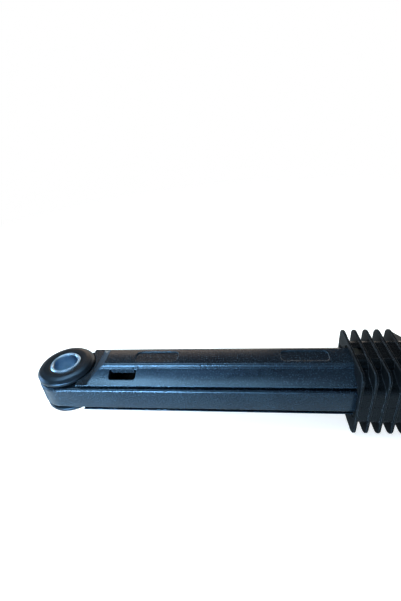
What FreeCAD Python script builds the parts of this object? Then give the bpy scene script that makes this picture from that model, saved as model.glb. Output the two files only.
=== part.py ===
"""Friction damper for a washing machine drum.

A finned plastic housing takes a hollow plastic rod with four coved sides. Friction pads on the rod's inner
head rub along the housing's cavity. Each end has an eye with a rubber bush and a steel sleeve.
Millimetres. X runs along the damper, Z along the eye axes, and the origin is the centre of the housing eye.
"""
import FreeCAD, Part
import math
import os

from FreeCAD import Vector

# Lengths along the damper
STROKE_LENGTH = 80.0     # travel of the rod, drawn out to pushed in
CLOSED_REACH = 34.0      # rod eye to housing mouth when pushed right in, just past the stop blocks
CAVITY_END = 24.5        # housing eye to the closed end of the cavity
END_GAP = 1.0            # room left beyond the rod when pushed right in
HEAD_LENGTH = 40.0       # rod's inner head, which carries the pads
STOP_GAP = 0.3           # head to collar when drawn right out
COLLAR_DEPTH = 5.2       # guide collar inside the mouth
MOUTH_REACH = CAVITY_END + END_GAP + STROKE_LENGTH + HEAD_LENGTH + STOP_GAP + COLLAR_DEPTH
ROD_REACH = STROKE_LENGTH + CLOSED_REACH
EXTENDED = MOUTH_REACH + ROD_REACH

# Rod section: four arms with coves between them
ARM_HALF = 4.95          # half width of the top and bottom arms
ARM_TOP = 12.05          # height of the arms' outer face
ARM_CROWN = 0.15         # how far the arms' outer faces bulge
ARM_ROUND = 1.0          # rounding of the arms' long edges
FLANGE_SIDE = 2.0        # upright side of an arm, above its cove
UNDERCUT = 0.25          # cove starts this far inside the arm's side
COVE_SLOPE = 15.0        # slope of a cove where it meets its lip, degrees
BAND_HALF = 5.0          # half height of the side bands
BAND_EDGE = 11.75        # half width of the rod at the bands' edges
BAND_CROWN = 0.3         # how far the bands bulge
BAND_ROUND = 1.0         # rounding of the bands' long edges
GROOVE_HEIGHT = 1.4      # groove between a band and its lip
GROOVE_DEPTH = 2.4
LIP_THICK = 0.35
LIP_SETBACK = 0.65       # lip's edge inside the band's edge
CORE_WALL = 1.85         # wall over the rod's hollow core
CORE_DROP = 1.3          # upright core wall in an arm, above the slanted corner wall
CORE_START = 20.3        # rod eye to the start of the core
CORE_WEB = 1.6           # web across the middle of the core

# Details along the rod, from its eye
BAND_START = 3.0         # bands' flared start behind the eye
LIP_START = 8.7
SLANT_FOOT = 13.2        # foot of the slanted end walls, at lip height
SLANT_RUN = 6.4          # slanted walls' length along the rod
WINDOW_START = 21.6
WINDOW_LENGTH = 11.2
WINDOW_REACH = 3.8       # window's outer edge beyond the arm's side
WINDOW_DROP = 0.5        # window's upper edge below the arm's side
WINDOW_FLOOR = 4.2       # height at which the window's core stops
WINDOW_ROUND = 1.2
BLOCK_INSET = 0.9        # stop block over the window, inside the window's ends
BLOCK_DROP = 2.0         # block below the arm's side
BLOCK_PROUD = 0.5        # block beyond the arm's side
BLOCK_EDGE = 0.25        # bevel of the block's edges
POCKET_LENGTH = 17.6
POCKET_WIDTH = 5.8
POCKET_DEPTH = 0.45
POCKET_ROUND = 1.8
POCKET_FIRST = 31.6
POCKET_TO_MOUTH = 7.4    # second pocket's end to the mouth when drawn out

# Rod head and friction pads
HEAD_GAP = 0.2           # head to cavity
PAD_LENGTH = 30.0
PAD_WIDTH = 8.0
PAD_THICK = 1.6
PAD_ROUND = 1.0
PAD_FIT = 0.05           # pad to cavity wall
PAD_SEAT_GAP = 0.1       # pad to the sides of its pocket

# Guide collar
GUIDE_GAP = 0.2          # rod to collar
COLLAR_WALL = 0.65
COLLAR_FIT = 0.05        # collar to cavity
COLLAR_ROUND = 0.8       # rounding of the collar's opening
COLLAR_INSET = 0.3       # collar's face inside the first fin's
KEY_ROOT = 0.35          # hold of the keys for the rod's grooves in the collar's wall
TAB_HALF = 1.75          # snap tabs, half width
TAB_CLEAR = 0.25         # tab to its window, and tab below the housing's outer face

# Housing
WALL = 1.2
HOUSING_ROUND = 2.6      # rounding of the housing's long outer edges
FIN_REACH = 0.45         # fins beyond the tube's arms
FIN_ROUND = 3.2          # rounding of the fins' corners
FIN_EDGE = 0.25          # bevel of the fins' rims
FIN_THICK = 1.1
FIN_PITCH = 4.25
FIN_COUNT = 5
SHOULDER_SLOPE = 0.5     # fall of the shoulder behind the last fin
SHOULDER_LENGTH = 11.7

# Eyes, bushes and sleeves
BORE_RADIUS = 5.0
SLEEVE_WALL = 1.15
SLEEVE_HALF = 9.2        # half length of the sleeve
SLEEVE_CHAMFER = 0.3
SLEEVE_FIT = 0.05        # sleeve to rubber
BARREL_WALL = 2.6        # wall of the eye around the bush
BUSH_FIT = 0.03          # bush to eye
BUSH_HALF = 8.95         # half length of the bush
FLANGE_INSET = 0.15      # bush flange inside the eye's outline
FLANGE_FLAT = 2.8        # width of the flange's flat face around the sleeve
FLANGE_NECK = 0.7        # depth of the bush's neck over the eye's bore
NECK_HEIGHT = 0.6        # gap under the flange
BUSH_CLEAR = 0.55        # bush to the walls around it
EYE_ROUND = 1.3          # rounding of the eye's edges
EYE_SETBACK = 0.15       # eye's upright wall inside the bands' crown

# Places worked out from the sizes above
SIDE_OUT = BAND_EDGE + BAND_CROWN
LIP_LOW = BAND_HALF + GROOVE_HEIGHT
LIP_TOP = LIP_LOW + LIP_THICK
LIP_EDGE = BAND_EDGE - LIP_SETBACK
FLANGE_LOW = ARM_TOP - FLANGE_SIDE
COVE_RUN = LIP_EDGE - ARM_HALF + UNDERCUT
COVE_FALL = FLANGE_LOW - LIP_TOP
COVE_LEAN = math.radians(COVE_SLOPE)
COVE_BULGE = COVE_FALL * math.cos(COVE_LEAN) - COVE_RUN * math.sin(COVE_LEAN)
COVE_RADIUS = (COVE_RUN ** 2 + COVE_FALL ** 2) / (2 * COVE_BULGE)
COVE_Y = LIP_EDGE + COVE_RADIUS * math.sin(COVE_LEAN)
COVE_Z = LIP_TOP + COVE_RADIUS * math.cos(COVE_LEAN)
COVE_END = 270 - COVE_SLOPE
CAVITY_GROW = GUIDE_GAP + COLLAR_WALL + COLLAR_FIT
OUTER_GROW = CAVITY_GROW + WALL
HEAD_GROW = CAVITY_GROW - HEAD_GAP
FIN_HALF = ARM_TOP + OUTER_GROW + FIN_REACH
SLEEVE_RADIUS = BORE_RADIUS + SLEEVE_WALL
EYE_WALL = SIDE_OUT - EYE_SETBACK
BUSH_SEAT = EYE_WALL - BARREL_WALL
BUSH_FLANGE = EYE_WALL - FLANGE_INSET
ROD_EYE = -EXTENDED
MOUTH = -MOUTH_REACH
HEAD_FRONT = MOUTH + COLLAR_DEPTH + STOP_GAP
ROD_END = HEAD_FRONT + HEAD_LENGTH
BEYOND = 3 * FIN_HALF    # further than any section reaches, for cutting tools


def arc_between(centre, radius, first, last):
    """Middle and end of an arc in a section, its angles in degrees from Y towards Z."""
    def at(angle):
        turn = math.radians(angle)
        return (centre[0] + radius * math.cos(turn), centre[1] + radius * math.sin(turn))
    return at((first + last) / 2), at(last)


def section(x, start, pieces):
    """Face across the damper at x, from a quarter outline mirrored about both centre planes."""
    quarter = []
    here = start
    for piece in pieces:
        quarter.append([here, *piece])
        here = piece[-1]
    back = [run[::-1] for run in quarter[::-1]]
    edges = []
    for side, up in ((1, 1), (1, -1), (-1, -1), (-1, 1)):
        for run in quarter if side == up else back:
            points = [Vector(x, side * y, up * z) for y, z in run]
            curve = Part.LineSegment if len(points) == 2 else Part.Arc
            edges.append(curve(*points).toShape())
    return Part.Face(Part.Wire(edges))


def cross(x, grow, rounding):
    """The rod's cross form with its coves, grown outwards by one distance."""
    arm = ARM_HALF + grow
    top = ARM_TOP + grow
    side = SIDE_OUT + grow
    radius = COVE_RADIUS - grow
    cove_start = 180 + math.degrees(math.acos((COVE_Y - arm) / radius))
    first = (COVE_Y + radius * math.cos(math.radians(cove_start)),
             COVE_Z + radius * math.sin(math.radians(cove_start)))
    foot = (COVE_Y - radius * math.sin(COVE_LEAN), COVE_Z - radius * math.cos(COVE_LEAN))
    corner = foot[1] - (side - foot[0]) * math.tan(COVE_LEAN)
    low = corner - rounding * math.tan((math.pi / 2 - COVE_LEAN) / 2)
    return section(x, (0, top), [
        ((arm - rounding, top),),
        arc_between((arm - rounding, top - rounding), rounding, 90, 0),
        (first,),
        arc_between((COVE_Y, COVE_Z), radius, cove_start, COVE_END),
        ((side - rounding + rounding * math.sin(COVE_LEAN), low + rounding * math.cos(COVE_LEAN)),),
        arc_between((side - rounding, low), rounding, 90 - COVE_SLOPE, 0),
        ((side, 0),),
    ])


def band_pieces():
    """Last stretch of a quarter outline: flat top, rounded edge and the band's bulge down to mid height."""
    bulge = (BAND_HALF ** 2 + BAND_CROWN ** 2) / (2 * BAND_CROWN)
    lean = math.degrees(math.asin((BAND_HALF - BAND_ROUND) / bulge))
    middle, edge = arc_between((SIDE_OUT - bulge, 0), bulge, 0, lean)
    turn = BAND_ROUND * (1 - math.sqrt(0.5))
    return [
        ((edge[0] - BAND_ROUND, BAND_HALF),),
        ((edge[0] - turn, BAND_HALF - turn), edge),
        (middle, (SIDE_OUT, 0)),
    ]


def rod_section(x):
    """The rod's own outline: arm, cove, lip, groove and bulged band."""
    cove_start = 180 + math.degrees(math.asin((COVE_Z - FLANGE_LOW) / COVE_RADIUS))
    groove = BAND_EDGE - GROOVE_DEPTH
    face_half = ARM_HALF - ARM_ROUND
    face_edge = ARM_TOP - ARM_CROWN
    bulge = (face_half ** 2 + ARM_CROWN ** 2) / (2 * ARM_CROWN)
    lean = math.degrees(math.asin(face_half / bulge))
    return section(x, (0, ARM_TOP), [
        arc_between((0, ARM_TOP - bulge), bulge, 90, 90 - lean),
        arc_between((face_half, face_edge - ARM_ROUND), ARM_ROUND, 90, 0),
        ((ARM_HALF, FLANGE_LOW),),
        ((ARM_HALF - UNDERCUT, FLANGE_LOW),),
        arc_between((COVE_Y, COVE_Z), COVE_RADIUS, cove_start, COVE_END),
        ((LIP_EDGE, LIP_LOW),),
        ((groove, LIP_LOW),),
        ((groove, BAND_HALF),),
        *band_pieces(),
    ])


def core_section(x):
    """The rod's hollow core, eight walls that follow the outside."""
    arm = ARM_HALF - CORE_WALL
    reach = SIDE_OUT - CORE_WALL
    low = BAND_HALF - CORE_WALL
    roof = ARM_TOP - CORE_WALL
    corner = roof - CORE_DROP
    return section(x, (0, roof), [
        ((arm, roof),),
        ((arm, corner),),
        ((arm + corner - low, low),),
        ((reach, low),),
        ((reach, 0),),
    ])


def along(face, length):
    return face.extrude(Vector(length, 0, 0))


def box(low, high):
    size = Vector(*high) - Vector(*low)
    return Part.makeBox(size.x, size.y, size.z, Vector(*low))


def rounded_square(x, half, rounding):
    return section(x, (0, half), [
        ((half - rounding, half),),
        arc_between((half - rounding, half - rounding), rounding, 90, 0),
        ((half, 0),),
    ])


def mirrored(shape):
    """A shape with its mirror images about both centre planes."""
    pair = [shape, shape.mirror(Vector(), Vector(0, 1, 0))]
    return pair + [each.mirror(Vector(), Vector(0, 0, 1)) for each in pair]


def above_and_below(shape):
    return [shape, shape.mirror(Vector(), Vector(0, 0, 1))]


def rounded_block(low, high, rounding):
    """A block with its four upright edges rounded."""
    block = box(low, high)
    upright = [e for e in block.Edges if abs(e.tangentAt(e.FirstParameter).z) > 0.9]
    return block.makeFillet(rounding, upright)


def slanted_ends(x, way, level):
    """Cutters for the slanted end walls beside an eye, above and below a level."""
    run = SLANT_RUN / (ARM_TOP - LIP_TOP)
    points = [(-BEYOND, level), (SLANT_FOOT + (level - LIP_TOP) * run, level),
              (SLANT_FOOT + (BEYOND - LIP_TOP) * run, BEYOND), (-BEYOND, BEYOND)]
    corners = [Vector(x + way * along_x, -BEYOND, z) for along_x, z in points]
    face = Part.Face(Part.makePolygon(corners + corners[:1]))
    return above_and_below(face.extrude(Vector(0, 2 * BEYOND, 0)))


def eye(x, way):
    """Eye with its straight neck; way is +1 or -1 along X to the body."""
    top = (0, BAND_HALF)
    half = [((EYE_WALL - EYE_ROUND, BAND_HALF),),
            arc_between((EYE_WALL - EYE_ROUND, BAND_HALF - EYE_ROUND), EYE_ROUND, 90, 0),
            ((EYE_WALL, 0),)]
    neck = along(section(x, top, half), way * BAND_START)
    return turned(x, [top, *half, *mirrored_down(top, half), (top,)]).fuse(neck)


def flared_band():
    """The rod's bands behind the eye, trimmed by upright walls that flare out to the bands' crown."""
    low = ROD_EYE + BAND_START
    high = ROD_EYE + LIP_START
    band = along(section(low, (0, BAND_HALF), band_pieces()), high - low)
    corners = [Vector(x, y, -BEYOND) for x, y in
               ((low, -EYE_WALL), (high, -SIDE_OUT), (high, SIDE_OUT), (low, EYE_WALL))]
    flare = Part.Face(Part.makePolygon(corners + corners[:1])).extrude(Vector(0, 0, 2 * BEYOND))
    return band.common(flare)


def stop_block():
    """Block over a window that stops the rod at the housing's mouth."""
    start = ROD_EYE + WINDOW_START
    top = ARM_TOP - ARM_CROWN - ARM_ROUND
    low = (start + BLOCK_INSET, ARM_HALF - CORE_WALL, FLANGE_LOW - BLOCK_DROP)
    high = (start + WINDOW_LENGTH - BLOCK_INSET, ARM_HALF + BLOCK_PROUD, top)
    block = box(low, high)
    outer = [e for e in block.Edges if abs(e.CenterOfMass.y - high[1]) < BLOCK_EDGE]
    return block.makeChamfer(BLOCK_EDGE, outer)


def bush_room(x):
    """Cutters for the eye's bore and the room around the bush's flanges."""
    room = BUSH_FLANGE + BUSH_CLEAR
    flanges = Part.makeCylinder(room, BEYOND, Vector(x, 0, BAND_HALF))
    bore = Part.makeCylinder(BUSH_SEAT, 2 * BEYOND, Vector(x, 0, -BEYOND))
    return [*above_and_below(flanges), bore]


def make_rod():
    start = ROD_EYE + LIP_START
    body = along(rod_section(start), ROD_END - start)
    window_end = ROD_EYE + WINDOW_START + WINDOW_LENGTH
    wall = ARM_HALF - CORE_WALL
    filled_end = box((start, wall, FLANGE_LOW - WINDOW_DROP),
                     (window_end - BLOCK_INSET, ARM_HALF, FLANGE_LOW + UNDERCUT))
    window = rounded_block((ROD_EYE + WINDOW_START, wall, WINDOW_FLOOR),
                           (window_end, ARM_HALF + WINDOW_REACH, FLANGE_LOW - WINDOW_DROP), WINDOW_ROUND)
    body = body.fuse(mirrored(filled_end)).cut(slanted_ends(ROD_EYE, 1, LIP_TOP) + mirrored(window))
    head = along(cross(HEAD_FRONT, HEAD_GROW, COLLAR_ROUND), HEAD_LENGTH)
    rod = body.fuse([head, flared_band(), eye(ROD_EYE, 1), *mirrored(stop_block())]).cut(bush_room(ROD_EYE))
    core_start = ROD_EYE + CORE_START
    web = box((core_start, -BEYOND, -CORE_WEB / 2), (ROD_END, BEYOND, CORE_WEB / 2))
    cuts = [along(core_section(core_start), ROD_END - core_start).cut(web)]
    for pocket in (POCKET_FIRST, ROD_REACH - POCKET_TO_MOUTH - POCKET_LENGTH):
        low = ROD_EYE + pocket
        cuts += above_and_below(rounded_block((low, -POCKET_WIDTH / 2, ARM_TOP - POCKET_DEPTH),
                                              (low + POCKET_LENGTH, POCKET_WIDTH / 2, ARM_TOP + POCKET_DEPTH),
                                              POCKET_ROUND))
    cuts += [pad_solid(face, PAD_SEAT_GAP) for face in PAD_FACES]
    return rod.cut(cuts).removeSplitter()


# Outward direction of each pad as quarter turns about X from the top
PAD_FACES = {"top": 0, "near": 1, "bottom": 2, "far": 3}


def pad_solid(face, gap):
    """A friction pad on one side of the head, or its pocket with a gap on every edge."""
    outer = (ARM_TOP if PAD_FACES[face] % 2 == 0 else SIDE_OUT) + CAVITY_GROW - PAD_FIT
    margin = (HEAD_LENGTH - PAD_LENGTH) / 2
    start = HEAD_FRONT + margin - gap
    pad = rounded_block((start, -PAD_WIDTH / 2 - gap, outer - PAD_THICK),
                        (start + PAD_LENGTH + 2 * gap, PAD_WIDTH / 2 + gap, outer), PAD_ROUND)
    pad.rotate(Vector(), Vector(1, 0, 0), 90 * PAD_FACES[face])
    return pad


def make_collar():
    front = MOUTH + COLLAR_INSET
    length = COLLAR_DEPTH - COLLAR_INSET
    ring = along(cross(front, CAVITY_GROW - COLLAR_FIT, HOUSING_ROUND - WALL), length)
    collar = ring.cut(along(cross(front, GUIDE_GAP, COLLAR_ROUND), length))
    key = box((front, BAND_EDGE - GROOVE_DEPTH + GUIDE_GAP, BAND_HALF + GUIDE_GAP),
              (front + length, SIDE_OUT + GUIDE_GAP + KEY_ROOT, LIP_LOW - GUIDE_GAP))
    low, high = tab_window()
    foot = ARM_TOP + GUIDE_GAP
    crest = ARM_TOP + OUTER_GROW - TAB_CLEAR
    profile = [(low + TAB_CLEAR, foot), (low + TAB_CLEAR, crest), ((low + high) / 2, crest),
               (high - TAB_CLEAR, ARM_TOP + CAVITY_GROW), (high - TAB_CLEAR, foot)]
    corners = [Vector(x, -TAB_HALF, z) for x, z in profile]
    tab = Part.Face(Part.makePolygon(corners + corners[:1])).extrude(Vector(0, 2 * TAB_HALF, 0))
    return collar.fuse(mirrored(key) + above_and_below(tab)).removeSplitter()


def tab_window():
    """Ends along X of the windows between the first two fins."""
    return MOUTH + FIN_THICK, MOUTH + FIN_PITCH


def make_housing():
    tube = along(cross(MOUTH, OUTER_GROW, HOUSING_ROUND), MOUTH_REACH - BAND_START)
    fins = []
    for number in range(FIN_COUNT):
        plate = along(rounded_square(MOUTH + number * FIN_PITCH, FIN_HALF, FIN_ROUND), FIN_THICK)
        rims = [e for e in plate.Edges if abs(e.tangentAt(e.FirstParameter).x) < 0.1]
        fins.append(plate.makeChamfer(FIN_EDGE, rims))
    behind = MOUTH + (FIN_COUNT - 1) * FIN_PITCH + FIN_THICK / 2
    narrow = SHOULDER_LENGTH * SHOULDER_SLOPE
    wide = rounded_square(behind, FIN_HALF - FIN_EDGE, FIN_ROUND).OuterWire
    slim = rounded_square(behind + SHOULDER_LENGTH, FIN_HALF - FIN_EDGE - narrow, FIN_ROUND / 2).OuterWire
    shoulder = Part.makeLoft([wide, slim], True, True)
    body = tube.fuse(fins + [shoulder])
    body = body.cut(slanted_ends(0, -1, BAND_HALF) + tapered_sides())
    body = body.fuse(eye(0, -1)).cut(bush_room(0))
    low, high = tab_window()
    half = TAB_HALF + TAB_CLEAR
    cuts = above_and_below(box((low, -half, ARM_TOP), (high, half, FIN_HALF)))
    cuts.append(along(cross(MOUTH, CAVITY_GROW, HOUSING_ROUND - WALL), MOUTH_REACH - CAVITY_END))
    return body.cut(cuts).removeSplitter()


def tapered_sides():
    """Cutters that bring the housing's side arms in to the width of its eye."""
    run = SLANT_RUN / (ARM_TOP - LIP_TOP)
    points = [(BEYOND, EYE_WALL), (-SLANT_FOOT, EYE_WALL), (-SLANT_FOOT - BEYOND * run, EYE_WALL + BEYOND),
              (BEYOND, EYE_WALL + BEYOND)]
    corners = [Vector(x, y, -BEYOND) for x, y in points]
    wedge = Part.Face(Part.makePolygon(corners + corners[:1])).extrude(Vector(0, 0, 2 * BEYOND))
    return [wedge, wedge.mirror(Vector(), Vector(0, 1, 0))]


def turned(x, outline):
    """Solid of revolution about an eye's axis; outline is radius and height, lines or arcs."""
    edges = []
    here = outline[0]
    for piece in outline[1:]:
        points = [Vector(x + r, 0, z) for r, z in [here, *piece]]
        curve = Part.LineSegment if len(points) == 2 else Part.Arc
        edges.append(curve(*points).toShape())
        here = piece[-1]
    face = Part.Face(Part.Wire(edges))
    return face.revolve(Vector(x, 0, 0), Vector(0, 0, 1), 360)


def mirrored_down(start, half):
    """The lower half of a turned outline, from the upper half's end back to its mirrored start."""
    runs = []
    here = start
    for piece in half:
        runs.append([here, *piece])
        here = piece[-1]
    lower = [((here[0], -here[1]),)] if here[1] else []
    for run in runs[::-1]:
        lower.append(tuple((r, -z) for r, z in run[-2::-1]))
    return lower


def make_bush(x):
    inner = SLEEVE_RADIUS + SLEEVE_FIT
    body = BUSH_SEAT - BUSH_FIT
    seat = BAND_HALF + BUSH_FIT
    neck = BUSH_SEAT + FLANGE_NECK
    flat = inner + FLANGE_FLAT
    under = seat + NECK_HEIGHT
    depth = (BUSH_HALF - under) / 3
    widest = under + depth
    fall = BUSH_HALF - widest
    share = math.sqrt(0.5)
    half = [((flat, BUSH_HALF),),
            ((flat + (BUSH_FLANGE - flat) * share, widest + fall * share), (BUSH_FLANGE, widest)),
            ((BUSH_FLANGE - depth * (1 - share), widest - depth * share), (BUSH_FLANGE - depth, under)),
            ((neck, under),),
            ((neck, seat),),
            ((body, seat),)]
    top = (inner, BUSH_HALF)
    return turned(x, [top, *half, *mirrored_down(top, half), (top,)])


def make_sleeve(x):
    inner = SLEEVE_HALF - SLEEVE_CHAMFER
    top = (BORE_RADIUS + SLEEVE_CHAMFER, SLEEVE_HALF)
    half = [((SLEEVE_RADIUS - SLEEVE_CHAMFER, SLEEVE_HALF),), ((SLEEVE_RADIUS, inner),)]
    bore = [((BORE_RADIUS, -inner),), ((BORE_RADIUS, inner),), (top,)]
    return turned(x, [top, *half, *mirrored_down(top, half), *bore])


parts = {"housing": make_housing(), "guide_collar": make_collar(), "rod": make_rod()}
for name in PAD_FACES:
    parts["friction_pad_" + name] = pad_solid(name, 0)
for name, place in (("rod", ROD_EYE), ("housing", 0)):
    parts[name + "_bush"] = make_bush(place)
    parts[name + "_sleeve"] = make_sleeve(place)

os.makedirs("parts", exist_ok=True)
for name, shape in parts.items():
    shape.exportStep("parts/" + name + ".step")
    print(name, "solids", len(shape.Solids), "valid", shape.isValid(), "volume", round(shape.Volume, 1))
print("eye to eye", EXTENDED, "drawn out,", EXTENDED - STROKE_LENGTH, "pushed in")
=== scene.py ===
# %% [markdown]
# # A friction damper for a washing machine drum
# A hollow plastic rod slides in a finned plastic housing, and greased linings inside make the friction.
# Each end has an eye with a rubber bush and a thin steel sleeve for the mounting bolt.
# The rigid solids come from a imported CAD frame. This lesson lights them, gives each real material its
# finish, and shapes the soft and fine pieces that a solid model leaves plain.

# %% Load the solids
import math

import bmesh
import bpy
from mathutils import Matrix, Quaternion, Vector


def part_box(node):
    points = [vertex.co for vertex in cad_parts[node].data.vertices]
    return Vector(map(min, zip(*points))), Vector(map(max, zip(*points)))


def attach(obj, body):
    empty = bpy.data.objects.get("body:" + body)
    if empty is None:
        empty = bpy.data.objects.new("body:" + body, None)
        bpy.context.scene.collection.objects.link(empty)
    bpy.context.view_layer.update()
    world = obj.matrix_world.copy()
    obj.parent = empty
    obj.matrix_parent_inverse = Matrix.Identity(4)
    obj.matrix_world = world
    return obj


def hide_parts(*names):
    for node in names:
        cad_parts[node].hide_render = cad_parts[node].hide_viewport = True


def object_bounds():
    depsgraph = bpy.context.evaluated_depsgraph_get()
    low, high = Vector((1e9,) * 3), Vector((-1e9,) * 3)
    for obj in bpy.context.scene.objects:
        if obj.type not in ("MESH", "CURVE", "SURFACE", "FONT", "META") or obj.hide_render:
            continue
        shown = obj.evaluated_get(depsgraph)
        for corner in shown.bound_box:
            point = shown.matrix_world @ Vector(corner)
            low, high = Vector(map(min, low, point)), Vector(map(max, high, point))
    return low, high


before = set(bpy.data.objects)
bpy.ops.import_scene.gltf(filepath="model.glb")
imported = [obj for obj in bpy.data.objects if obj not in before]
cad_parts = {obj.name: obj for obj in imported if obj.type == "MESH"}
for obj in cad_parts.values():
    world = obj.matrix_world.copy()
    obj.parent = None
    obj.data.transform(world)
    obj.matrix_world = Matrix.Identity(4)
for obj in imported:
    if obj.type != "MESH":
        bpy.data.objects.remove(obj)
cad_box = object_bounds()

MM = 0.001
print("solids:", ", ".join(sorted(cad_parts)))

# %% [markdown]
# ## The camera
# A camera can be aimed by hand, or placed from measurements. Here it is placed from measurements: a short
# lens close to the rod, looking down at it from its near side, with a slight roll. A short lens near a long
# object makes the far end shrink quickly, which is why the finned housing seems to turn away.
# The sensor width belongs to the longer side of the picture.

# %% Place the camera
PICTURE = (401, 601)
SENSOR = 36.0
FOCAL_PIXELS = 330.68
LENS_SHIFT = (0.00263, -0.0078)
NEAREST = 2 * MM
CAMERA_PLACE = Vector((-187.576, -100.285, 96.603)) * MM
HEADING, PITCH, ROLL = (math.radians(angle) for angle in (99.6605, -29.3678, -6.6487))

lens = bpy.data.cameras.new("studio_camera")
lens.sensor_width = SENSOR
lens.lens = FOCAL_PIXELS * SENSOR / max(PICTURE)
lens.shift_x, lens.shift_y = LENS_SHIFT
lens.clip_start = NEAREST
camera = bpy.data.objects.new("studio_camera", lens)
level_part = math.cos(PITCH)
looking = Vector((math.cos(HEADING) * level_part, math.sin(HEADING) * level_part, math.sin(PITCH)))
camera.rotation_mode = "QUATERNION"
camera.rotation_quaternion = looking.to_track_quat("-Z", "Y") @ Quaternion((0, 0, 1), ROLL)
camera.location = CAMERA_PLACE
bpy.context.scene.collection.objects.link(camera)
bpy.context.scene.camera = camera
print("lens", round(lens.lens, 2), "mm")

# %% [markdown]
# ## Helpers for finishes
# Node trees get long when every node takes five lines. One small function adds any node, sets its options
# and values, and joins it to the nodes before it. A second one turns the hex colours that painters and web
# pages use into the linear numbers that a renderer works with.

# %% Node and colour helpers
def node(tree, kind, inputs=None, stops=(), **options):
    """Add a node. Stops are the positions and hex colours of a colour ramp."""
    made = tree.nodes.new("ShaderNode" + kind)
    for name, value in options.items():
        setattr(made, name, value)
    for socket, value in (inputs or {}).items():
        if isinstance(value, bpy.types.NodeSocket):
            tree.links.new(value, made.inputs[socket])
        else:
            made.inputs[socket].default_value = value
    for at, (position, code) in enumerate(stops):
        made.color_ramp.elements[at].position = position
        made.color_ramp.elements[at].color = linear(code)
    return made


def linear(code):
    channels = [int(code[at:at + 2], 16) / 255 for at in (1, 3, 5)]
    return (*(c / 12.92 if c < 0.04045 else ((c + 0.055) / 1.055) ** 2.4 for c in channels), 1.0)


def per_mm(size):
    """Scale of a pattern whose features are this many millimetres across."""
    return 1 / (size * MM)


def blank_material(name):
    material = bpy.data.materials.new(name)
    material.use_nodes = True
    material.node_tree.nodes.clear()
    return material, material.node_tree


def dress(name, material):
    """Give one of the loaded solids its finish."""
    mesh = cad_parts[name].data
    mesh.materials.clear()
    mesh.materials.append(material)
    print(name, "wears", material.name)


WHITE = linear("#ffffff")
print("white is", WHITE)

# %% [markdown]
# ## The floor
# The damper lies on pale paper. Strong lamps could make the paper white, but they would bleach the plastic
# too, so most of the white comes from the kind of ray that sees it, and the lamps add the rest. That keeps
# the damper's shadow. Rays that bounce off a glossy surface see a weaker floor, because a brightly mirrored
# one would put white streaks on the damper's slanted walls. Far out, the paper fades to plain white.

# %% Lay the floor
FLOOR_SIZE = 4.0
FLOOR_GAP = 0.05 * MM

floor_mesh = bpy.data.meshes.new("floor")
bm = bmesh.new()
bmesh.ops.create_grid(bm, x_segments=1, y_segments=1, size=FLOOR_SIZE / 2)
bmesh.ops.translate(bm, verts=bm.verts, vec=(0, 0, cad_box[0][2] - FLOOR_GAP))
bm.to_mesh(floor_mesh)
bm.free()
floor = bpy.data.objects.new("floor", floor_mesh)
bpy.context.scene.collection.objects.link(floor)
print("floor at", round(cad_box[0][2] / MM, 2), "mm")

# %% Make the paper
FLOOR_LIFT = 0.72
FLOOR_MIRRORED = 0.2
FADE_CENTRE = (-190 * MM, 60 * MM, 0)
FADE_FROM, FADE_TO = 150 * MM, 420 * MM


def seen_directly(tree, mirrored=1.0):
    """1 for what the camera sees, also through glass, and less for what a glossy surface mirrors."""
    path = node(tree, "LightPath")
    glossy = node(tree, "Math", {0: path.outputs["Is Glossy Ray"], 1: mirrored}, operation="MULTIPLY")
    some = node(tree, "Math", {0: path.outputs["Is Camera Ray"], 1: glossy.outputs[0]}, operation="MAXIMUM")
    return node(tree, "Math", {0: some.outputs[0], 1: path.outputs["Is Transmission Ray"]},
                operation="MAXIMUM").outputs[0]


paper, tree = blank_material("pale_paper")
pale = node(tree, "BsdfDiffuse", {"Color": linear("#d2cdc6")})
seen = seen_directly(tree, FLOOR_MIRRORED)
lift = node(tree, "Math", {0: seen, 1: FLOOR_LIFT}, operation="MULTIPLY")
glow = node(tree, "Emission", {"Color": WHITE, "Strength": lift.outputs[0]})
both = node(tree, "AddShader", {0: pale.outputs[0], 1: glow.outputs[0]})
spot = node(tree, "TexCoord").outputs["Object"]
away = node(tree, "VectorMath", {0: spot, 1: FADE_CENTRE}, operation="DISTANCE")
fade = node(tree, "MapRange", {"Value": away.outputs["Value"], "From Min": FADE_FROM, "From Max": FADE_TO},
            interpolation_type="SMOOTHSTEP")
share = node(tree, "Math", {0: fade.outputs[0], 1: seen}, operation="MULTIPLY")
bright = node(tree, "Emission", {"Color": WHITE, "Strength": 1.0})
paper_shader = node(tree, "MixShader", {0: share.outputs[0], 1: both.outputs[0], 2: bright.outputs[0]})
node(tree, "OutputMaterial", {"Surface": paper_shader.outputs[0]})
floor_mesh.materials.append(paper)
print("floor wears", paper.name)

# %% [markdown]
# ## The background
# The background is white to the camera at every height. What the damper mirrors is white only near the
# horizon and dim overhead, as in a studio with a dark ceiling. A ceiling that is white all over would lay a
# grey veil on every upward face. A weak cool light from all round keeps the shadows open.

# %% Make the background
ALL_ROUND = 0.22
CEILING = 0.1
CEILING_FROM, CEILING_TO = 0.1, 0.5

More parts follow.
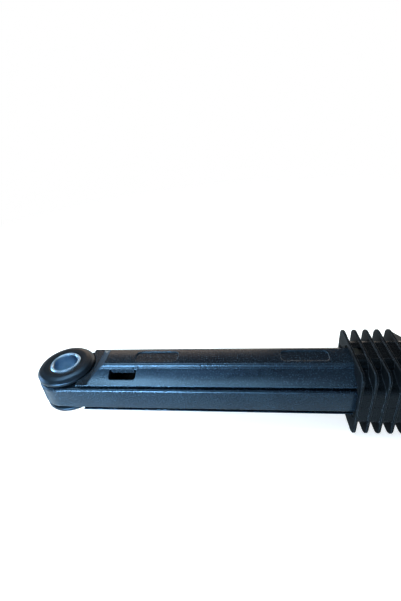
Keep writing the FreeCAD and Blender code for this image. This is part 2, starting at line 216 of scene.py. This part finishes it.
world = bpy.data.worlds.new("studio")
bpy.context.scene.world = world
world.use_nodes = True
tree = world.node_tree
tree.nodes.clear()
ambient = node(tree, "Background", {"Color": linear("#dbe6f2"), "Strength": ALL_ROUND})
direction = node(tree, "SeparateXYZ", {0: node(tree, "TexCoord").outputs["Generated"]})
height = node(tree, "MapRange", {"Value": direction.outputs["Z"], "From Min": CEILING_FROM,
                                 "From Max": CEILING_TO, "To Min": 1.0, "To Max": CEILING},
              interpolation_type="SMOOTHSTEP")
camera_ray = node(tree, "LightPath").outputs["Is Camera Ray"]
level = node(tree, "Math", {0: height.outputs[0], 1: camera_ray}, operation="MAXIMUM")
white = node(tree, "Background", {"Color": WHITE, "Strength": level.outputs[0]})
mixed = node(tree, "MixShader", {0: seen_directly(tree), 1: ambient.outputs[0], 2: white.outputs[0]})
node(tree, "OutputWorld", {"Surface": mixed.outputs[0]})
bpy.context.scene.view_settings.view_transform = "Standard"
print("background made in", len(tree.nodes), "nodes")

# %% [markdown]
# ## The soft boxes
# Black plastic shows its form by what it reflects. One large lamp would light the damper evenly. A row of
# soft boxes gives each stretch its own level instead, strong at the rod's eye and weak at the fins.
# Low cool boxes on the near side draw the bright line along the rod's shoulder and light its flat band. Boxes
# overhead fill the coves. Weak warm ones behind mark the far edges.

# %% Hang the soft boxes
# Each row gives place, aim and size in millimetres, then watts, spread in degrees and tint
SOFT_BOXES = {
    "near_left": ((-310, -200, 8), (-275, 0, 0), (120, 50), 0.72, 70, "#b9e0ff"),
    "near_middle": ((-210, -200, 8), (-200, 0, 0), (80, 50), 0.42, 180, "#b9e0ff"),
    "near_right": ((-130, -200, 8), (-150, 0, 0), (80, 50), 0.03, 180, "#b9e0ff"),
    "left_box": ((-560, -40, 40), (-265, 0, 0), (160, 100), 0.8, 180, "#9fd0ff"),
    "overhead_left": ((-370, 58, 391), (-250, 0, 0), (220, 145), 2.4, 180, "#d4efff"),
    "overhead_middle": ((-210, 58, 391), (-210, 0, 0), (100, 145), 0.52, 180, "#d4efff"),
    "overhead_right": ((-100, 58, 391), (-130, 0, 0), (120, 145), 0.15, 180, "#d4efff"),
    "front_strip": ((-340, -103, 386), (-240, 0, 0), (280, 180), 0.55, 180, "#a8d4ff"),
    "back_strip": ((-60, 330, 25), (-80, 0, 0), (300, 60), 0.3, 180, "#ffe8d0"),
    "far_box": ((-300, 365, 163), (-220, 0, 0), (300, 120), 0.5, 180, "#ffdcbc"),
}
for name, (place, aim, size, watts, spread, tint) in SOFT_BOXES.items():
    lamp = bpy.data.lights.new(name, "AREA")
    lamp.shape = "RECTANGLE"
    lamp.size, lamp.size_y = (side * MM for side in size)
    lamp.energy = watts
    lamp.spread = math.radians(spread)
    lamp.color = linear(tint)[:3]
    holder = bpy.data.objects.new(name, lamp)
    holder.location = Vector(place) * MM
    holder.rotation_mode = "QUATERNION"
    holder.rotation_quaternion = ((Vector(aim) - Vector(place)) * MM).to_track_quat("-Z", "Y")
    bpy.context.scene.collection.objects.link(holder)
print(len(SOFT_BOXES), "soft boxes")

# %% [markdown]
# ## Painted edge highlights
# The edges of a moulding are slightly round, and they catch the light in thin bright lines. Here those lines
# are painted: each edge is coloured lighter in patches, a painted highlight. Bevelling every edge of the
# solids would change their meshes. A Bevel node gives rounded normals without that, and where they depart
# from the true ones there is an edge to paint lighter.

# %% Find the edges for the painted highlight
EDGE_SAMPLES = 6
EDGE_FROM, EDGE_TO = 0.99, 0.86
HIGHLIGHT_PATCH_MM = 2.5


def edge_highlights(tree, place, edge_mm):
    """Normals rounded over the edges, and how strongly each edge gets its painted highlight."""
    true_normal = node(tree, "NewGeometry").outputs["Normal"]
    soft_normal = node(tree, "Bevel", {"Radius": edge_mm * MM}, samples=EDGE_SAMPLES).outputs["Normal"]
    match = node(tree, "VectorMath", {0: true_normal, 1: soft_normal}, operation="DOT_PRODUCT")
    patches = node(tree, "TexNoise", {"Vector": place, "Scale": per_mm(HIGHLIGHT_PATCH_MM), "Detail": 2.0})
    edge = node(tree, "MapRange", {"Value": match.outputs["Value"], "From Min": EDGE_FROM,
                                   "From Max": EDGE_TO})
    highlight_and_wear = node(tree, "Math", {0: edge.outputs[0], 1: patches.outputs["Fac"]}, operation="MULTIPLY")
    return soft_normal, highlight_and_wear.outputs[0]


# The painted edge highlight fades in between these two turns of the normal
print("edges wear from", *(round(math.degrees(math.acos(turn))) for turn in (EDGE_FROM, EDGE_TO)), "degrees")

# %% [markdown]
# ## Moulded plastic
# Rod, housing and collar are injection moulded in black engineering plastic. The steel mould was spark
# eroded, so the skin has a fine grain, and slow changes in tone where the melt flowed. The grain's small
# glints are painted in as lighter specks of colour, a painted highlight.
# Rubbing along the collar leaves faint lines lengthwise. The walls that stand across the damper's length
# are drawn duller, so that they don't mirror the white background as streaks.
# A painted picture could hold all that, but noise in the object's own millimetres never repeats or blurs.
# The grain is really about a tenth of a millimetre. It is drawn four to six times coarser so that it shows.

# %% Mould the plastics
FLOW_MM = 9.0
RUB_LINE_MM, RUB_STRETCH = 0.6, (0.03, 1.0, 1.0)
RUB_FROM, RUB_TO = 0.58, 0.75
PAINTED_GLINT_FROM, PAINTED_GLINT_TO = 0.52, 0.72
GRAIN_FROM, GRAIN_TO = 0.3, 0.7
GRAIN_SMOOTHER, GRAIN_ROUGHER = 0.05, 0.06
GRAIN_STRENGTH = 0.6
END_FROM, END_TO = 0.3, 0.6
PLASTIC_IOR = 1.5


def moulded_plastic(name, dark, light, highlight_and_wear_colour, sheen, shine, rough, end_coarse, grain_mm, grain_depth, painted_glint,
                    rub, edge_mm):
    material, tree = blank_material(name)
    place = node(tree, "TexCoord").outputs["Object"]
    soft_normal, edge_highlight = edge_highlights(tree, place, edge_mm)

    # Tone from the flow of the melt, lines from rubbing, and painted highlights on the edges and in the grain
    flow = node(tree, "TexNoise", {"Vector": place, "Scale": per_mm(FLOW_MM), "Detail": 3.0,
                                   "Roughness": 0.6})
    tone = node(tree, "ValToRGB", {"Fac": flow.outputs["Fac"]}, stops=((0.3, dark), (0.7, light)))
    lengthwise = node(tree, "Mapping", {"Vector": place, "Scale": RUB_STRETCH})
    lines = node(tree, "TexNoise", {"Vector": lengthwise.outputs[0], "Scale": per_mm(RUB_LINE_MM),
                                    "Detail": 2.0})
    rubbed = node(tree, "MapRange", {"Value": lines.outputs["Fac"], "From Min": RUB_FROM, "From Max": RUB_TO,
                                     "To Max": rub})
    # Painted edge highlights and real rubbed lines, whichever is the stronger
    highlight_and_wear = node(tree, "Math", {0: edge_highlight, 1: rubbed.outputs[0]}, operation="MAXIMUM")
    grain = node(tree, "TexNoise", {"Vector": place, "Scale": per_mm(grain_mm), "Detail": 2.0,
                                    "Roughness": 0.7})
    # Painted glints: lighter specks of colour where the grain noise is high
    painted_glints = node(tree, "MapRange", {"Value": grain.outputs["Fac"], "From Min": PAINTED_GLINT_FROM,
                                     "From Max": PAINTED_GLINT_TO, "To Max": painted_glint})
    shown = node(tree, "Math", {0: highlight_and_wear.outputs[0], 1: painted_glints.outputs[0]}, operation="MAXIMUM")
    colour = node(tree, "Mix", {"Factor": shown.outputs[0], 6: tone.outputs["Color"], 7: linear(highlight_and_wear_colour)},
                  data_type="RGBA")

    # Gloss that the grain breaks up, and duller walls across the damper's length
    gloss = node(tree, "MapRange", {"Value": grain.outputs["Fac"], "From Min": GRAIN_FROM,
                                    "From Max": GRAIN_TO, "To Min": rough - GRAIN_SMOOTHER,
                                    "To Max": rough + GRAIN_ROUGHER})
    along = node(tree, "SeparateXYZ", {0: node(tree, "TexCoord").outputs["Normal"]}).outputs["X"]
    end_wall = node(tree, "Math", {0: along}, operation="ABSOLUTE")
    coarse = node(tree, "MapRange", {"Value": end_wall.outputs[0], "From Min": END_FROM, "From Max": END_TO,
                                     "To Max": end_coarse})
    dull = node(tree, "Math", {0: gloss.outputs[0], 1: coarse.outputs[0]}, operation="ADD")

    relief = node(tree, "Bump", {"Height": grain.outputs["Fac"], "Normal": soft_normal,
                                 "Strength": GRAIN_STRENGTH, "Distance": grain_depth * MM})
    skin = node(tree, "BsdfPrincipled", {"Base Color": colour.outputs[2], "Roughness": dull.outputs[0],
                                         "Normal": relief.outputs[0], "IOR": PLASTIC_IOR,
                                         "Specular IOR Level": shine, "Specular Tint": linear(sheen)})
    node(tree, "OutputMaterial", {"Surface": skin.outputs[0]})
    print(name, "has a grain of", grain_mm, "mm")
    return material


# %% Dress the mouldings
plastics = {
    # Grained polypropylene: a satin skin with a blue-tinted gloss, painted glints and painted edge highlights
    "rod": moulded_plastic("grained_black_polypropylene", dark="#090d12", light="#0e1419", highlight_and_wear_colour="#384a58",
                           sheen="#b1ddff", shine=0.25, rough=0.2, end_coarse=0.45, grain_mm=0.6,
                           grain_depth=0.13, painted_glint=0.25, rub=0.04, edge_mm=0.35),
    # Glass-filled nylon: nearly black and smooth, with a painted highlight on the fins' rims
    "housing": moulded_plastic("black_glass_filled_nylon", dark="#040506", light="#070809", highlight_and_wear_colour="#5c6064",
                               sheen="#b9daf6", shine=0.1, rough=0.26, end_coarse=0.34, grain_mm=0.45,
                               grain_depth=0.008, painted_glint=0.01, rub=0.015, edge_mm=0.16),
    # Acetal: a little browner and duller than its neighbours
    "guide_collar": moulded_plastic("dark_acetal", dark="#12110f", light="#1a1815", highlight_and_wear_colour="#3d3831",
                                    sheen="#ffffff", shine=0.06, rough=0.45, end_coarse=0.45, grain_mm=0.4,
                                    grain_depth=0.02, painted_glint=0.1, rub=0.1, edge_mm=0.2),
}
for name, material in plastics.items():
    dress(name, material)

# %% [markdown]
# ## Steel sleeves
# The sleeves are cut from thin tube, turned to length and zinc plated. Turning leaves rings round the wall,
# and plating adds a soft blue-white bloom. The rings could be cut into the mesh, but they are only hundredths
# of a millimetre deep, so a bump is enough. Real ones are several to the millimetre. They are drawn 0.8 mm
# apart so that they show. A wave texture makes 20 / (2 pi) bands to the unit, and the scale allows for that.

# %% Make the zinc-plated steel
RING_MM, RING_DEPTH = 0.8, 0.02
WAVES_PER_UNIT = 20 / (2 * math.pi)
BLOOM_MM = 4.0

zinc, tree = blank_material("zinc_plated_steel")
place = node(tree, "TexCoord").outputs["Object"]
rings = node(tree, "TexWave", {"Vector": place, "Scale": per_mm(RING_MM) / WAVES_PER_UNIT, "Distortion": 0.6,
                               "Detail": 2.0}, bands_direction="Z")
bloom = node(tree, "TexNoise", {"Vector": place, "Scale": per_mm(BLOOM_MM), "Detail": 3.0})
tone = node(tree, "ValToRGB", {"Fac": bloom.outputs["Fac"]}, stops=((0.3, "#8ca9c2"), (0.7, "#aec6d9")))
gloss = node(tree, "MapRange", {"Value": bloom.outputs["Fac"], "To Min": 0.28, "To Max": 0.42})
relief = node(tree, "Bump", {"Height": rings.outputs["Fac"], "Strength": 0.25, "Distance": RING_DEPTH * MM})
skin = node(tree, "BsdfPrincipled", {"Base Color": tone.outputs["Color"], "Metallic": 1.0,
                                     "Roughness": gloss.outputs[0], "Normal": relief.outputs[0]})
node(tree, "OutputMaterial", {"Surface": skin.outputs[0]})
for name in ("rod_sleeve", "housing_sleeve"):
    dress(name, zinc)

# %% [markdown]
# ## Rubber
# The bushes are moulded in black rubber. A fresh skin has a soft gloss, and dust settles on it unevenly,
# which greys it in patches. One noise could do for all of it, but dust and grain differ in size, so noise a
# few millimetres wide gives the patches, and a finer one gives the skin's grain.

# %% Make the rubber
DUST_MM = 3.0
SKIN_MM, SKIN_DEPTH = 0.5, 0.02
RUBBER_IOR = 1.52

rubber, tree = blank_material("moulded_black_rubber")
place = node(tree, "TexCoord").outputs["Object"]
dust = node(tree, "TexNoise", {"Vector": place, "Scale": per_mm(DUST_MM), "Detail": 4.0, "Roughness": 0.65})
tone = node(tree, "ValToRGB", {"Fac": dust.outputs["Fac"]}, stops=((0.35, "#06080a"), (0.75, "#0e1115")))
gloss = node(tree, "MapRange", {"Value": dust.outputs["Fac"], "To Min": 0.26, "To Max": 0.42})
skin_grain = node(tree, "TexNoise", {"Vector": place, "Scale": per_mm(SKIN_MM), "Detail": 2.0})
relief = node(tree, "Bump", {"Height": skin_grain.outputs["Fac"], "Strength": 0.3,
                             "Distance": SKIN_DEPTH * MM})
skin = node(tree, "BsdfPrincipled", {"Base Color": tone.outputs["Color"], "Roughness": gloss.outputs[0],
                                     "Normal": relief.outputs[0], "IOR": RUBBER_IOR,
                                     "Specular IOR Level": 0.17, "Specular Tint": linear("#a6d4fb")})
node(tree, "OutputMaterial", {"Surface": skin.outputs[0]})
print("made", rubber.name)

# %% [markdown]
# ## Bushes
# Each bush is a spool: a body in the eye's bore and a fat round flange above and below. It could be built
# from cylinders and bevels. Here its section is drawn once as a flat outline, the corners are rounded, and
# the outline is spun about the bolt's axis, because spinning gives clean rings of faces all round.

# %% Spin the bushes
EYE_TO_EYE = 265.0
BUSH_STEPS = 96
BUSH_ROUND = 0.35
MERGE = 0.001
BUSH_OUTLINE = [(6.2, 8.75), (6.9, 8.95), (8.9, 8.95), (10.6, 8.5), (11.75, 7.3), (11.7, 6.2), (10.75, 5.65),
                (10.0, 5.62), (9.98, 5.05), (9.26, 5.03)]


def new_piece(name, bm, body, material):
    mesh = bpy.data.meshes.new(name)
    bm.to_mesh(mesh)
    bm.free()
    piece = bpy.data.objects.new(name, mesh)
    bpy.context.scene.collection.objects.link(piece)
    mesh.materials.append(material)
    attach(piece, body)
    return piece


def smooth_faces(bm):
    for each in bm.faces:
        each.smooth = True


def spun_bush(name, x, body, node_name):
    bm = bmesh.new()
    outline = BUSH_OUTLINE + [(r, -z) for r, z in reversed(BUSH_OUTLINE)]
    corners = [bm.verts.new(((x + r) * MM, 0, z * MM)) for r, z in outline]
    bm.faces.new(corners)
    bmesh.ops.bevel(bm, geom=corners, offset=BUSH_ROUND * MM, affect="VERTICES", segments=4, profile=0.5,
                    material=-1)
    bmesh.ops.delete(bm, geom=bm.faces, context="FACES_ONLY")
    bmesh.ops.spin(bm, geom=bm.edges[:], cent=(x * MM, 0, 0), axis=(0, 0, 1), angle=2 * math.pi,
                   steps=BUSH_STEPS, use_merge=True)
    bmesh.ops.remove_doubles(bm, verts=bm.verts, dist=MERGE * MM)
    bmesh.ops.recalc_face_normals(bm, faces=bm.faces)
    smooth_faces(bm)
    piece = new_piece(name, bm, body, rubber)
    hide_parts(node_name)
    print(piece.name, len(piece.data.polygons), "faces")


spun_bush("rod_bush_rubber", -EYE_TO_EYE, "rod_body", "rod_bush")
spun_bush("housing_bush_rubber", 0.0, "housing_body", "housing_bush")

# %% [markdown]
# ## Greased felt
# The linings are cut from brown felt and soaked in grease. Felt is a mat of fibres, so its face is finely
# mottled, and where grease has come through it shines. Hair strands could draw the fibres, but these strips
# are small and hidden, so two noises of different size do: one for the fibres and one for the grease.

# %% Make the greased felt
FIBRE_MM, FIBRE_DEPTH = 0.5, 0.1
GREASE_MM = 5.0

felt, tree = blank_material("greased_felt")
place = node(tree, "TexCoord").outputs["Object"]
fibres = node(tree, "TexNoise", {"Vector": place, "Scale": per_mm(FIBRE_MM), "Detail": 5.0,
                                 "Distortion": 1.5})
tone = node(tree, "ValToRGB", {"Fac": fibres.outputs["Fac"]}, stops=((0.3, "#4a3c2c"), (0.7, "#7d6a50")))
grease = node(tree, "TexNoise", {"Vector": place, "Scale": per_mm(GREASE_MM), "Detail": 2.0})
gloss = node(tree, "MapRange", {"Value": grease.outputs["Fac"], "From Min": 0.35, "From Max": 0.65,
                                "To Min": 0.3, "To Max": 0.8})
relief = node(tree, "Bump", {"Height": fibres.outputs["Fac"], "Strength": 0.7, "Distance": FIBRE_DEPTH * MM})
skin = node(tree, "BsdfPrincipled", {"Base Color": tone.outputs["Color"], "Roughness": gloss.outputs[0],
                                     "Normal": relief.outputs[0]})
node(tree, "OutputMaterial", {"Surface": skin.outputs[0]})
print("made", felt.name)

# %% [markdown]
# ## Friction linings
# Four strips of the felt sit in pockets of the rod's head and rub along the housing's wall. Felt is soft, so
# its corners and rims round over. Cloth simulation could press them into shape, but nothing pulls or folds
# these strips, so a block the size of the pocket, bevelled twice, is enough.

# %% Cut the linings
LINING_TURNS = {"top": 0, "near": 90, "bottom": 180, "far": 270}
LINING_CORNER, LINING_RIM = 1.0, 0.35

for side, turn in LINING_TURNS.items():
    node_name = "friction_pad_" + side
    low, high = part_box(node_name)
    length, across, tall = high - low
    width, thick = (across, tall) if side in ("top", "bottom") else (tall, across)
    bm = bmesh.new()
    bmesh.ops.create_cube(bm, size=1.0)
    bmesh.ops.scale(bm, verts=bm.verts, vec=(length, width, thick))
    upright = [e for e in bm.edges if abs(e.verts[0].co.z - e.verts[1].co.z) > thick / 2]
    bmesh.ops.bevel(bm, geom=upright, offset=LINING_CORNER * MM, affect="EDGES", segments=5, profile=0.5,
                    material=-1)
    rims = [e for e in bm.edges if abs(e.verts[0].co.z - e.verts[1].co.z) < thick / 2]
    bmesh.ops.bevel(bm, geom=rims, offset=LINING_RIM * MM, affect="EDGES", segments=4, profile=0.5,
                    material=-1)
    bmesh.ops.rotate(bm, verts=bm.verts, cent=(0, 0, 0), matrix=Matrix.Rotation(math.radians(turn), 3, "X"))
    bmesh.ops.translate(bm, verts=bm.verts, vec=(low + high) / 2)
    smooth_faces(bm)
    piece = new_piece("lining_" + side, bm, "rod_body", felt)
    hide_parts(node_name)
    print(piece.name, "length", round(length / MM, 1), "mm")

# %% [markdown]
# ## Parting lines
# The housing's mould opens in halves. Where they meet, the plastic creeps into the joint and leaves a fine
# ridge: one along each side at mid height, and two along the top and the bottom where the mould's side
# slides meet. The fins hide them, so they show between the fins and along the tail. A bump would vanish at
# the outline, so each ridge is a real bead: a thin bar, half sunk in the wall, with its long edges rounded.

# %% Lay the parting beads
MOUTH, FIN_PITCH, FIN_THICK, FIN_COUNT = -151.0, 4.25, 1.1, 5
FIN_BITE = 0.1
WALL_OUT = 14.15
TAIL = (-121.0, -16.5)
SLIDE_LINE = 4.45
BEAD_WIDTH, BEAD_RISE, BEAD_ROUND = 0.36, 0.13, 0.1
LONG = 1.0

between_fins = [(MOUTH + n * FIN_PITCH + FIN_THICK - FIN_BITE, MOUTH + (n + 1) * FIN_PITCH + FIN_BITE)
                for n in range(FIN_COUNT - 1)]
runs = [(ends, (side * WALL_OUT, 0), True) for ends in (*between_fins, TAIL) for side in (-1, 1)]
runs += [(ends, (side * SLIDE_LINE, level * WALL_OUT), False)
         for ends in between_fins[1:] for side in (-1, 1) for level in (-1, 1)]
bm = bmesh.new()
for (start, end), (y, z), upright in runs:
    thick = (2 * BEAD_RISE, BEAD_WIDTH) if upright else (BEAD_WIDTH, 2 * BEAD_RISE)
    size = Matrix.Diagonal((*(Vector((end - start, *thick)) * MM), 1))
    place = Matrix.Translation(Vector(((start + end) / 2, y, z)) * MM)
    bmesh.ops.create_cube(bm, size=1.0, matrix=place @ size)
long_edges = [e for e in bm.edges if abs(e.verts[0].co.x - e.verts[1].co.x) > LONG * MM]
bmesh.ops.bevel(bm, geom=long_edges, offset=BEAD_ROUND * MM, affect="EDGES", segments=3, profile=0.5,
                material=-1)
seams = new_piece("housing_parting_lines", bm, "housing_body", plastics["housing"])
print(len(runs), "beads,", len(seams.data.polygons), "faces")
